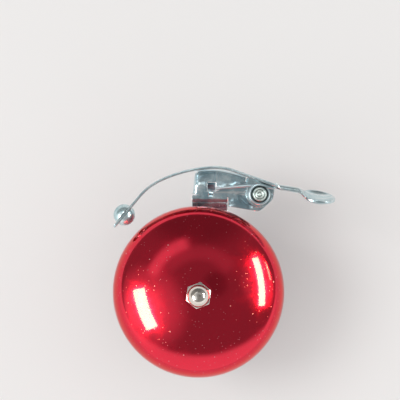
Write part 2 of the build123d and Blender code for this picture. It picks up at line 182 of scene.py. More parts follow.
class Path:
    """A chain of straight runs and arcs in a plane, walked by its length."""

    def __init__(self, start, heading):
        self.runs = []
        self.point = Vector(start)
        self.heading = radians(heading)
        self.length = 0.0

    def line(self, length):
        self.runs.append((self.length, self.point.copy(), self.heading, 0.0))
        self.point = self.point + unit(self.heading) * length
        self.length += length
        return self

    def arc(self, radius, turn):
        turn = radians(turn)
        bend = copysign(1 / radius, turn)
        self.runs.append((self.length, self.point.copy(), self.heading, bend))
        self.point, self.heading = self.walk(self.runs[-1], radius * abs(turn))
        self.length += radius * abs(turn)
        return self

    @staticmethod
    def walk(run, distance):
        _, start, heading, bend = run
        if bend == 0:
            return start + unit(heading) * distance, heading
        end = heading + bend * distance
        return start + Vector((sin(end) - sin(heading), cos(heading) - cos(end))) / bend, end

    def at(self, s):
        """Point, direction and left normal at a length along the path; past its ends it goes straight on."""
        if s > self.length:
            heading = self.heading
            point = self.point + unit(heading) * (s - self.length)
        else:
            start, first, turned, bend = [run for run in self.runs if run[0] <= s or run is self.runs[0]][-1]
            point, heading = self.walk((start, first, turned, bend if s >= 0 else 0.0), s - start)
        ahead = unit(heading)
        return point, ahead, Vector((-ahead.y, ahead.x))

    def cuts(self, degrees_each):
        """Lengths at which a sheet has to be sliced to follow the arcs."""
        made = []
        ends = [run[0] for run in self.runs[1:]] + [self.length]
        for run, end in zip(self.runs, ends):
            if run[3]:
                count = max(2, ceil(degrees(abs(run[3]) * (end - run[0])) / degrees_each))
                made += [run[0] + (end - run[0]) * k / count for k in range(count + 1)]
        return made


def spread(start, end, step):
    """Evenly spaced values from start to end, about a step apart."""
    count = max(1, round(abs(end - start) / step))
    return [start + (end - start) * k / count for k in range(count + 1)]


def roll(u, t, radius, angle):
    """Where a sheet's point goes that is u past the start of a bend towards its -t side: (along, height)."""
    if u <= 0:
        return u, t
    turned = min(u / radius, angle)
    past = u - radius * turned
    along = (radius + t) * sin(turned) + past * cos(turned)
    return along, (radius + t) * cos(turned) - radius - past * sin(turned)


# ------------------------------------------------ meshes
def mesh_from(name, points, faces):
    """A mesh from points in millimetres."""
    mesh = bpy.data.meshes.new(name)
    mesh.from_pydata([tuple(Vector(p) * MM) for p in points], [], faces)
    mesh.validate()
    mesh.update()
    return mesh


def lathe(name, profile, centre=(0, 0), segments=96, shape=None, span=360, start=0):
    """Turn a closed profile of (radius, z) round a vertical axis; a span under 360 leaves a capped gap."""
    whole = span >= 360
    on_axis = [p[0] < 1e-6 for p in profile]
    open_profile = on_axis[0] and on_axis[-1]
    columns = segments if whole else segments + 1
    points = []
    rows = []
    for (r, z), single in zip(profile, on_axis):
        if single:
            rows.append([len(points)] * columns)
            points.append((centre[0], centre[1], z))
            continue
        rows.append(list(range(len(points), len(points) + columns)))
        for k in range(columns):
            angle = radians(start + span * k / segments)
            radius, height = shape(r, z, angle) if shape else (r, z)
            points.append((centre[0] + radius * cos(angle), centre[1] + radius * sin(angle), height))
    faces = []
    pairs = list(zip(rows, rows[1:] + rows[:1]))
    for lower, upper in pairs[:-1] if open_profile else pairs:
        for k in range(segments):
            j = (k + 1) % columns
            face = [lower[k], lower[j], upper[j], upper[k]]
            face = [v for i, v in enumerate(face) if v != face[i - 1]]
            if len(face) > 2:
                faces.append(face)
    if not whole:
        faces.append([row[0] for row in rows])
        faces.append([row[-1] for row in reversed(rows)])
    mesh = mesh_from(name, points, faces)
    outward(mesh)
    return mesh


def outward(mesh):
    """Make the faces of a closed mesh look outwards."""
    bm = bmesh.new()
    bm.from_mesh(mesh)
    bmesh.ops.recalc_face_normals(bm, faces=bm.faces)
    bm.to_mesh(mesh)
    bm.free()


def tube(name, line, radius, sides=18):
    """A round wire along a line of points, with rounded ends."""
    line = [Vector(p) for p in line]
    ahead = (line[1] - line[0]).normalized()
    across = ahead.orthogonal().normalized()
    rings = []
    for i, here in enumerate(line):
        new = (line[min(i + 1, len(line) - 1)] - line[max(i - 1, 0)]).normalized()
        across.rotate(ahead.rotation_difference(new))
        ahead = new
        rings.append((here, ahead.copy(), across.copy(), radius))
    dome = [(sin(radians(a)), cos(radians(a))) for a in (25, 50, 72)]
    (a, a_ahead, a_across, _), (b, b_ahead, b_across, _) = rings[0], rings[-1]
    first = [(a - a_ahead * radius * s * 0.6, a_ahead, a_across, radius * c) for s, c in reversed(dome)]
    last = [(b + b_ahead * radius * s * 0.6, b_ahead, b_across, radius * c) for s, c in dome]
    rings = first + rings + last
    points = []
    for here, along, side, r in rings:
        up = along.cross(side)
        for k in range(sides):
            a = 2 * pi * k / sides
            points.append(here + side * (r * cos(a)) + up * (r * sin(a)))
    faces = []
    for i in range(len(rings) - 1):
        for k in range(sides):
            j = (k + 1) % sides
            faces.append([i * sides + k, i * sides + j, (i + 1) * sides + j, (i + 1) * sides + k])
    faces.append(list(range(sides)))
    faces.append(list(range(len(points) - sides, len(points))))
    mesh = mesh_from(name, points, faces)
    outward(mesh)
    return mesh


SIDE, TOP, BOTTOM = 0, 1, 2


class Sheet:
    """A flat blank with rounded edges and holes, which is sliced and then bent into shape."""

    def __init__(self, outline, holes, thickness, edge, rows=3):
        self.bm = bmesh.new()
        self.side = self.bm.verts.layers.float_vector.new("side")
        half = thickness / 2
        ladder = []
        for k in range(rows + 1):
            a = radians(90 * k / rows)
            ladder.append((edge * (1 - sin(a)), -half + edge * (1 - cos(a)), sin(a), -cos(a)))
        ladder += [(inset, -z, outwards, -up) for inset, z, outwards, up in reversed(ladder)]
        bottoms, tops = [], []
        for loop, turn in [(outline, 1)] + [(hole, -1) for hole in holes]:
            loop = [Vector(p).to_2d() for p in loop]
            area = sum(a.cross(b) for a, b in zip(loop, loop[1:] + loop[:1]))
            if area * turn < 0:
                loop.reverse()
            grid = []
            for i, here in enumerate(loop):
                back = (here - loop[i - 1]).normalized()
                ahead = (loop[(i + 1) % len(loop)] - here).normalized()
                out = Vector((back.y + ahead.y, -back.x - ahead.x)).normalized()
                stretch = 1 / max(0.5, out.dot(Vector((ahead.y, -ahead.x))))
                column = []
                for inset, z, outwards, up in ladder:
                    spot = here - out * inset * stretch
                    vert = self.bm.verts.new((spot.x, spot.y, z))
                    vert[self.side] = (out.x * outwards, out.y * outwards, up)
                    column.append(vert)
                grid.append(column)
            for i in range(len(grid)):
                a, b = grid[i - 1], grid[i]
                for k in range(len(ladder) - 1):
                    self.bm.faces.new((a[k], b[k], b[k + 1], a[k + 1])).material_index = SIDE
            bottoms.append([column[0] for column in grid])
            tops.append([column[-1] for column in grid])
        for loops, kind in ((bottoms, BOTTOM), (tops, TOP)):
            flat = [vert for loop in loops for vert in loop]
            for triple in tessellate_polygon([[vert.co.to_2d().to_3d() for vert in loop] for loop in loops]):
                face = self.bm.faces.new([flat[i] for i in triple])
                face.material_index = kind
                face.normal_update()
                if (face.normal.z > 0) != (kind == TOP):
                    face.normal_flip()

    def slice(self, axis, values):
        """Cut the blank across, so that it can bend there."""
        normal = Vector((1, 0, 0)) if axis == "x" else Vector((0, 1, 0))
        for value in sorted(set(round(v, 4) for v in values)):
            everything = self.bm.verts[:] + self.bm.edges[:] + self.bm.faces[:]
            plane = {"plane_co": normal * value, "plane_no": normal}
            bmesh.ops.bisect_plane(self.bm, geom=everything, dist=1e-4, **plane)
        return self

    def bent(self, name, place):
        """The mesh whose points place(x, y, t) has moved, shaded by the exactly bent normals."""
        bmesh.ops.triangulate(self.bm, faces=[f for f in self.bm.faces if len(f.verts) > 4])
        small = 1e-3
        spots, frames = [], []
        self.bm.verts.index_update()
        for vert in self.bm.verts:
            x, y, t = vert.co
            spots.append(place(x, y, t))
            frames.append([
                (place(x + small, y, t) - place(x - small, y, t)) / (2 * small),
                (place(x, y + small, t) - place(x, y - small, t)) / (2 * small),
                (place(x, y, t + small) - place(x, y, t - small)) / (2 * small),
            ])
        normals = []
        for face in self.bm.faces:
            for vert in face.verts:
                flat = {TOP: UP, BOTTOM: -UP}.get(face.material_index) or vert[self.side]
                along, across, through = frames[vert.index]
                bent = across.cross(through) * flat[0] + through.cross(along) * flat[1]
                bent += along.cross(across) * flat[2]
                normals.append(bent.normalized())
        faces = [[vert.index for vert in face.verts] for face in self.bm.faces]
        mesh = bpy.data.meshes.new(name)
        mesh.from_pydata([tuple(spot * MM) for spot in spots], [], faces)
        mesh.update()
        mesh.shade_smooth()
        mesh.normals_split_custom_set(normals)
        self.bm.free()
        return mesh


def link(name, data):
    """A new object in the scene."""
    obj = bpy.data.objects.new(name, data)
    bpy.context.scene.collection.objects.link(obj)
    return obj


def evaluated(obj):
    """Replace an object's mesh with the one that its modifiers make."""
    depsgraph = bpy.context.evaluated_depsgraph_get()
    made = bpy.data.meshes.new_from_object(obj.evaluated_get(depsgraph))
    obj.modifiers.clear()
    obj.data = made


def cut(obj, cutter_mesh):
    """Subtract a closed mesh from an object."""
    cutter = link("cutter", cutter_mesh)
    modifier = obj.modifiers.new("cut", "BOOLEAN")
    modifier.object = cutter
    modifier.solver = "EXACT"
    bpy.context.view_layer.update()
    evaluated(obj)
    bpy.data.objects.remove(cutter)


def block(points, z0, z1, shrink=1.0, centre=(0, 0)):
    """A prism over a polygon from z0 to z1, with its z1 end scaled about a centre."""
    count = len(points)
    verts = [(p[0], p[1], z0) for p in points]
    cx, cy = centre
    verts += [(cx + (x - cx) * shrink, cy + (y - cy) * shrink, z1) for x, y in points]
    faces = [list(range(count)), list(range(count, 2 * count))]
    faces += [[k, (k + 1) % count, count + (k + 1) % count, count + k] for k in range(count)]
    mesh = mesh_from("block", verts, faces)
    outward(mesh)
    return mesh


def cross(centre, size, width):
    """Outline of a cross recess."""
    a, b = size / 2, width / 2
    quarter = [(a, -b), (a, b), (b, b)]
    made = []
    for turn in range(4):
        c, s = cos(turn * pi / 2), sin(turn * pi / 2)
        made += [(centre[0] + x * c - y * s, centre[1] + x * s + y * c) for x, y in quarter]
    return made


def place_piece(mesh, node, material, body="base", bevel=0.0, weighted=True):
    """Link a mesh as the piece that stands for a CAD node, shaded smoothly between its sharp edges."""
    finish_piece(link(node + "_mesh", mesh), node, material, body, bevel, weighted)


def finish_piece(obj, node, material, body="base", bevel=0.0, weighted=True):
    """Give an object its material, its edges and its place on a body."""
    obj.name = node + "_mesh"
    obj.data.materials.clear()
    obj.data.materials.append(material)
    for face in obj.data.polygons:
        face.material_index = 0
    if weighted:
        if bevel:
            edges = obj.modifiers.new("edges", "BEVEL")
            edges.width = bevel * MM
            edges.segments = 2
            edges.limit_method = "ANGLE"
            edges.angle_limit = smooth_angle
            bpy.context.view_layer.update()
            evaluated(obj)
        obj.data.shade_smooth()
        obj.data.set_sharp_from_angle(angle=smooth_angle)
        normals = obj.modifiers.new("normals", "WEIGHTED_NORMAL")
        normals.keep_sharp = True
    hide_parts(node)
    if body:
        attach(obj, body)


# ------------------------------------------------ materials
class Nodes:
    """A node tree that is put together from small steps."""

    def __init__(self, tree):
        self.tree = tree

    def node(self, kind, **settings):
        made = self.tree.nodes.new("ShaderNode" + kind)
        for key, value in settings.items():
            setattr(made, key, value)
        return made

    def feed(self, socket, value):
        if isinstance(value, bpy.types.NodeSocket):
            self.tree.links.new(value, socket)
        else:
            socket.default_value = value

    def math(self, operation, a, b=0.0, clamp=False):
        made = self.node("Math", operation=operation, use_clamp=clamp)
        self.feed(made.inputs[0], a)
        self.feed(made.inputs[1], b)
        return made.outputs[0]

    def vector(self, operation, a, b=None):
        made = self.node("VectorMath", operation=operation)
        self.feed(made.inputs[0], a)
        if b is not None:
            self.feed(made.inputs[1], b)
        return made.outputs["Value" if operation in ("LENGTH", "DOT_PRODUCT") else "Vector"]

    def span(self, value, low, high, to_low=0.0, to_high=1.0):
        """Value from low to high becomes to_low to to_high, with smooth ends."""
        made = self.node("MapRange", interpolation_type="SMOOTHSTEP")
        for index, number in enumerate((value, low, high, to_low, to_high)):
            self.feed(made.inputs[index], number)
        return made.outputs[0]


class Shader(Nodes):
    """A material; every pattern lies in the piece's own coordinates."""

    def __init__(self, name):
        self.material = bpy.data.materials.new(name)
        self.material.use_nodes = True
        super().__init__(self.material.node_tree)
        self.bsdf = self.tree.nodes["Principled BSDF"]
        self.spot = self.node("TexCoord").outputs["Object"]

    def noise(self, scale, detail, rough, vector=None, distortion=0.0):
        made = self.node("TexNoise")
        values = {"Scale": scale, "Detail": detail, "Roughness": rough, "Distortion": distortion}
        for key, value in {"Vector": vector or self.spot, **values}.items():
            self.feed(made.inputs[key], value)
        return made.outputs["Fac"]

    def cells(self, scale):
        """Distance from the middles of scattered cells."""
        made = self.node("TexVoronoi")
        self.feed(made.inputs["Vector"], self.spot)
        self.feed(made.inputs["Scale"], scale)
        return made.outputs["Distance"]

    def mix(self, share, a, b):
        """Mix of two colours."""
        made = self.node("Mix", data_type="RGBA")
        self.feed(made.inputs[0], share)
        for index, colour in ((6, a), (7, b)):
            linked = isinstance(colour, bpy.types.NodeSocket)
            self.feed(made.inputs[index], colour if linked else (*colour, 1))
        return made.outputs[2]

    def bump(self, height, distance, strength=1.0, under=None):
        made = self.node("Bump")
        self.feed(made.inputs["Distance"], distance * MM)
        self.feed(made.inputs["Strength"], strength)
        self.feed(made.inputs["Height"], height)
        if under is not None:
            self.feed(made.inputs["Normal"], under)
        return made.outputs[0]

    def set(self, **values):
        for key, value in values.items():
            socket = self.bsdf.inputs[key.replace("_", " ")]
            self.feed(socket, (*value, 1) if isinstance(value, tuple) and len(value) == 3 else value)

    def scratches(self, scale, turn, thin):
        """Thin straight scratches in one direction, 1 on a scratch."""
        along = self.node("Mapping")
        self.feed(along.inputs["Vector"], self.spot)
        self.feed(along.inputs["Scale"], (1, 0.02, 1))
        self.feed(along.inputs["Rotation"], (0, 0, turn))
        return self.span(self.noise(scale, 2, 0.6, along.outputs[0]), thin, thin + 0.05)

    def radius(self, centre):
        """Distance from an upright axis, in metres."""
        apart = self.vector("SUBTRACT", self.spot, (centre[0] * MM, centre[1] * MM, 0))
        return self.vector("LENGTH", self.vector("MULTIPLY", apart, (1, 1, 0)))

    def rings(self, centre, scale):
        """Fine turning marks round an upright axis."""
        axis = self.node("CombineXYZ")
        self.feed(axis.inputs[0], self.radius(centre))
        return self.noise(scale, 2, 0.7, axis.outputs[0])

    def edges(self, low, high):
        """1 where the surface is as sharply convex (over 0.5) or hollow (under it) as high."""
        return self.span(self.node("NewGeometry").outputs["Pointiness"], low, high)


def anodised_red():
    s = Shader("anodised_red")
    cloud = s.noise(45, 3, 0.5)
    smudge = s.noise(160, 5, 0.65, distortion=0.4)
    ring = s.rings((0, 0), 900)
    few = s.span(s.noise(260, 1, 0.5), 0.50, 0.56)
    coarse = s.math("MULTIPLY", s.span(s.cells(420), 0.13, 0.05), few)
    fine_dust = s.span(s.cells(800), 0.16, 0.07)
    fine_dust = s.math("MULTIPLY", fine_dust, s.math("SUBTRACT", 1.0, few))
    speck = s.math("MAXIMUM", coarse, s.math("MULTIPLY", fine_dust, 0.6))
    hair = s.math("MULTIPLY", s.scratches(700, 0.7, 0.74), s.span(s.noise(120, 1, 0.5), 0.55, 0.62))
    other = s.math("MULTIPLY", s.scratches(800, -0.9, 0.75), s.span(s.noise(90, 1, 0.5), 0.56, 0.63))
    hair = s.math("MAXIMUM", hair, other)
    red = s.mix(cloud, (0.70, 0.004, 0.034), (0.84, 0.008, 0.042))
    marked = s.mix(s.math("MULTIPLY", hair, 0.5), red, (0.95, 0.25, 0.30))
    s.set(Base_Color=s.mix(s.math("MULTIPLY", speck, 0.8), marked, (0.9, 0.45, 0.5)))
    s.set(Metallic=1.0, Specular_Tint=(0.8, 0.10, 0.16), Coat_Weight=1.0, Coat_Roughness=0.05, Coat_IOR=1.42)
    rough = s.span(smudge, 0.3, 0.75, 0.09, 0.19)
    s.set(Roughness=s.math("ADD", rough, s.math("MULTIPLY", speck, 0.3)))
    wavy = s.bump(cloud, 0.05, 0.35)
    fine = s.bump(ring, 0.004, 0.35, wavy)
    s.set(Normal=s.bump(speck, 0.02, 0.5, fine))
    return s.material


def plated(
    name, light, dark, tint, rough=(0.16, 0.34), turn=0.0, centre=None, grain=0.35, metallic=1.0, waves=None,
    hollow_shade=0.0, ring=None,
):
    """Zinc or nickel plate: cloudy passivation, small scratches, worn edges, concave spots darkened as
    painted shade; turned if it has a centre.

    waves is the height in mm and the scale of dents; ring is the spacing and first crest of rings, in mm,
    whose troughs are painted as dark bands of shade.
    """
    s = Shader(name)
    cloud = s.noise(170, 4, 0.6, distortion=0.6)
    broad = s.noise(60, 2, 0.5)
    spangle = s.cells(900)
    colour = s.mix(s.span(cloud, 0.3, 0.7), dark, light)
    colour = s.mix(s.span(broad, 0.52, 0.72, 0.0, 0.55), colour, tint)
    worn = s.edges(0.51, 0.56)
    colour = s.mix(s.math("MULTIPLY", worn, 0.6), colour, (0.88, 0.90, 0.90))
    # painted shade: concave spots of the mesh are darkened towards near black, as if shadowed
    hollow = s.edges(0.495, 0.44)
    colour = s.mix(s.math("MULTIPLY", hollow, hollow_shade), colour, (0.10, 0.12, 0.11))
    # painted shade: dark bands round the centre where the troughs of the rivet head's rings lie
    if ring:
        past_crest = s.math("SUBTRACT", s.radius(centre), ring[1] * MM)
        phase = s.math("MULTIPLY", past_crest, 2 * pi / (ring[0] * MM))
        colour = s.mix(s.span(s.math("COSINE", phase), 0.1, -0.8, 0.0, 0.85), colour, (0.09, 0.12, 0.11))
    scratch = s.math("MAXIMUM", s.scratches(900, turn, 0.68), s.scratches(700, turn + 0.5, 0.72))
    s.set(Base_Color=s.mix(s.math("MULTIPLY", scratch, 0.35), colour, (0.9, 0.93, 0.93)))
    s.set(Metallic=metallic, Specular_IOR_Level=0.5)
    level = s.span(cloud, 0.25, 0.75, rough[0], rough[1])
    level = s.math("ADD", level, s.math("MULTIPLY", scratch, 0.12))
    s.set(Roughness=s.math("SUBTRACT", level, s.math("MULTIPLY", worn, 0.06), clamp=True))
    pores = s.math("ADD", s.noise(2600, 2, 0.6), s.math("MULTIPLY", spangle, 0.4))
    pores = s.bump(pores, 0.012, grain)
    if waves:
        pores = s.bump(s.noise(waves[1], 2, 0.5, distortion=0.8), waves[0], 1.0, pores)
    if centre is not None:
        pores = s.bump(s.rings(centre, 5200), 0.02, 0.55, pores)
    s.set(Normal=s.bump(s.math("SUBTRACT", 1.0, scratch), 0.006, 0.5, pores))
    return s.material


def rubber():
    s = Shader("rubber")
    cloud = s.noise(220, 4, 0.6)
    s.set(Base_Color=s.mix(s.span(cloud, 0.45, 0.8, 0.0, 0.7), (0.018, 0.018, 0.019), (0.055, 0.053, 0.050)))
    s.set(Roughness=s.span(cloud, 0.3, 0.7, 0.55, 0.78), Specular_IOR_Level=0.4)
    s.set(Normal=s.bump(s.noise(3200, 3, 0.7), 0.03, 0.5))
    return s.material


def nylon():
    s = Shader("nylon")
    cloud = s.noise(300, 3, 0.5)
    s.set(Base_Color=s.mix(cloud, (0.022, 0.022, 0.024), (0.04, 0.04, 0.042)))
    s.set(Roughness=s.span(cloud, 0.3, 0.7, 0.34, 0.5))
    s.set(Normal=s.bump(s.noise(1500, 2, 0.5), 0.01, 0.4))
    return s.material


ZINC = ((0.66, 0.79, 0.82), (0.30, 0.47, 0.55), (0.56, 0.68, 0.68))
TURNED = ((0.70, 0.74, 0.74), (0.52, 0.60, 0.61), (0.66, 0.67, 0.60))
red = anodised_red()
zinc_sheet = plated("zinc_sheet", *ZINC, rough=(0.13, 0.27), turn=0.2, metallic=0.88, waves=(0.9, 110))
zinc_strip = plated(
    "zinc_strip", (0.62, 0.74, 0.76), (0.42, 0.56, 0.60), (0.55, 0.66, 0.65),
    rough=(0.16, 0.26), turn=1.4, metallic=0.88,
)
zinc_turned = plated("zinc_turned", *TURNED, centre=(0, 0))
zinc_clamp = plated("zinc_clamp", *TURNED, centre=lug_screw)
# painted shade: this material darkens its hollows and paints dark rings round the pivot
zinc_pivot = plated(
    "zinc_pivot", (0.62, 0.70, 0.65), (0.40, 0.49, 0.46), (0.56, 0.60, 0.50),
    rough=(0.30, 0.45), centre=pivot, metallic=0.8, hollow_shade=0.6, ring=(rivet_ring, rivet_crest),
)
nickel = plated(
    "nickel", (0.83, 0.79, 0.73), (0.72, 0.66, 0.59), (0.80, 0.72, 0.66), rough=(0.07, 0.16), grain=0.12
)
striker = plated(
    "striker_zinc", (0.66, 0.80, 0.82), (0.32, 0.50, 0.54), (0.60, 0.70, 0.69),
    rough=(0.2, 0.34), grain=0.2, metallic=0.85, waves=(0.06, 420),
)
spring_wire = plated(
    "spring_steel", (0.46, 0.57, 0.60), (0.30, 0.41, 0.46), (0.46, 0.53, 0.50),
    rough=(0.3, 0.42), metallic=0.8,
)
black_rubber = rubber()
black_nylon = nylon()


# ------------------------------------------------ dome, acorn nut and the parts on the bell's post
def make_dome():
    side_h, shoulder_r, crown_r, seat_r = 6.0, 10.0, 46.3, 4.8
    rise = sqrt((crown_r - shoulder_r) ** 2 - (dome_r - shoulder_r) ** 2)
    crown_angle = degrees(asin((dome_r - shoulder_r) / (crown_r - shoulder_r)))
    crown_z = rim + side_h - rise

    def skin(inset):
        seat_angle = degrees(asin(seat_r / crown_r))
        points = [Vector((dome_r - inset, z)) for z in spread(rim + 0.6, rim + side_h, 0.9)[:-1]]
        points += arc(dome_r - shoulder_r, rim + side_h, shoulder_r - inset, 0, 90 - crown_angle, 30)
        points += arc(0, crown_z, crown_r - inset, 90 - crown_angle, 90 - seat_angle, 40)[1:]
        return points

    outer, inner = skin(0), skin(wall)
    lip = arc(dome_r - wall / 2, rim + wall / 2, wall / 2, -180, 0, 8)
    profile = outer[1:] + [Vector((screw_hole, p.y)) for p in (outer[-1], inner[-1])]
    profile += inner[:0:-1] + lip
    place_piece(lathe("dome", profile, segments=288), "dome", red)


def hexagon(apothem, low, high, seat, turn=0.0):
    """A hexagon for lathe(): its shape, and its side, which is chamfered down to seat times the apothem."""
    slope = tan(radians(30))
    reach = apothem / cos(radians(30))
    ring = apothem * seat
    drop = (reach - ring) * slope

    def shape(r, z, angle):
        if abs(r - reach) > 1e-6:
            return r, z
        local = (degrees(angle) - turn) % 60 - 30
        here = apothem / cos(radians(local))
        slack = (reach - here) * slope
        return here, z + slack if z > (low + high) / 2 else z - slack

    return shape, [(ring, low), (reach, low + drop), (reach, high - drop), (ring, high)]


def make_acorn_nut():
    low, high = heights("acorn_nut")
    hex_h, cap_r, thread_r, cove, turn = 4.0, 3.75, 2.5, 0.12, 21
    shape, side = hexagon(4.0, low, low + hex_h, 0.975, turn)
    profile = [(0, low + 7.5), (thread_r / 2, low + 7.0), (thread_r, low + 6.2), (thread_r, low)]
    profile += [(thread_r + 0.3, low)] + side + arc(cap_r + cove, low + hex_h + cove, cove, 270, 180, 3)
    profile += arc(0, high - cap_r, cap_r, 0, 90, 22)
    profile[-1] = (0, high)
    mesh = lathe("acorn_nut", profile, segments=120, shape=shape, start=turn)
    place_piece(mesh, "acorn_nut", nickel, bevel=0.14)


def ring_piece(node, material, outer, inner, edge=0.2, centre=(0, 0), gap=0.0):
    """A washer, tube or split lock washer between the heights of its CAD node."""
    low, high = heights(node)
    section = [(inner, low), (outer, low), (outer, high), (inner, high)]
    section = rounded(section, [edge / 2, edge, edge, edge / 2], step=22)
    span = 360 - degrees(gap / ((inner + outer) / 2))
    mesh = lathe(node, section, centre, 120, span=span, start=20 + (360 - span) / 2)
    place_piece(mesh, node, material)


def thread(radius, pitch, depth, low, high):
    """A shape for lathe() that cuts a screw thread between two heights."""

    def shape(r, z, angle):
        if abs(r - radius) > 1e-6 or not low < z < high:
            return r, z
        phase = (z / pitch - angle / (2 * pi)) % 1.0
        ends = min(1.0, (z - low) / pitch, (high - z) / pitch)
        groove = max(0.0, abs(phase * 2 - 1) * 1.25 - 0.12)
        return r - depth * groove * ends, z

    return shape


def make_screw(node, material, centre, shank_r, shank_low, threaded, head_r, head_edge, recess, pitch):
    """A pan head screw pointing up, with its cross recess below and a thread near its end."""
    low, high = heights(node)
    profile = rounded([(0, low), (head_r, low), (head_r, shank_low)], head_edge, closed=False)
    profile[-1:] = [(head_r, shank_low - 0.1), (head_r - 0.1, shank_low)]
    start = high - threaded
    profile += [(shank_r, shank_low), (shank_r, start)]
    profile += [(shank_r, z) for z in spread(start, high - 0.5, pitch / 8)[1:]]
    profile += [(shank_r - 0.45, high), (0, high)]
    shape = thread(shank_r, pitch, pitch * 0.5, start, high - 0.5)
    obj = link(node, lathe(node, profile, centre, 72, shape=shape))
    size, width, depth = recess
    cut(obj, block(cross(centre, size, width), low - 0.1, low + depth, 0.55, centre))
    finish_piece(obj, node, material)


make_dome()
make_acorn_nut()
ring_piece("dome_washer", black_nylon, 4.6, screw_hole)
ring_piece("spacer_tube", zinc_turned, 4.0, screw_hole, 0.3)
ring_piece("base_washer", zinc_turned, 5.0, screw_hole)
ring_piece("lock_washer", spring_wire, 4.6, screw_hole, 0.12, gap=1.2)
make_screw("centre_screw", zinc_turned, (0, 0), 2.48, band_top - band_t, 14, 4.2, 0.8, (3.6, 0.9, 1.2), 0.8)


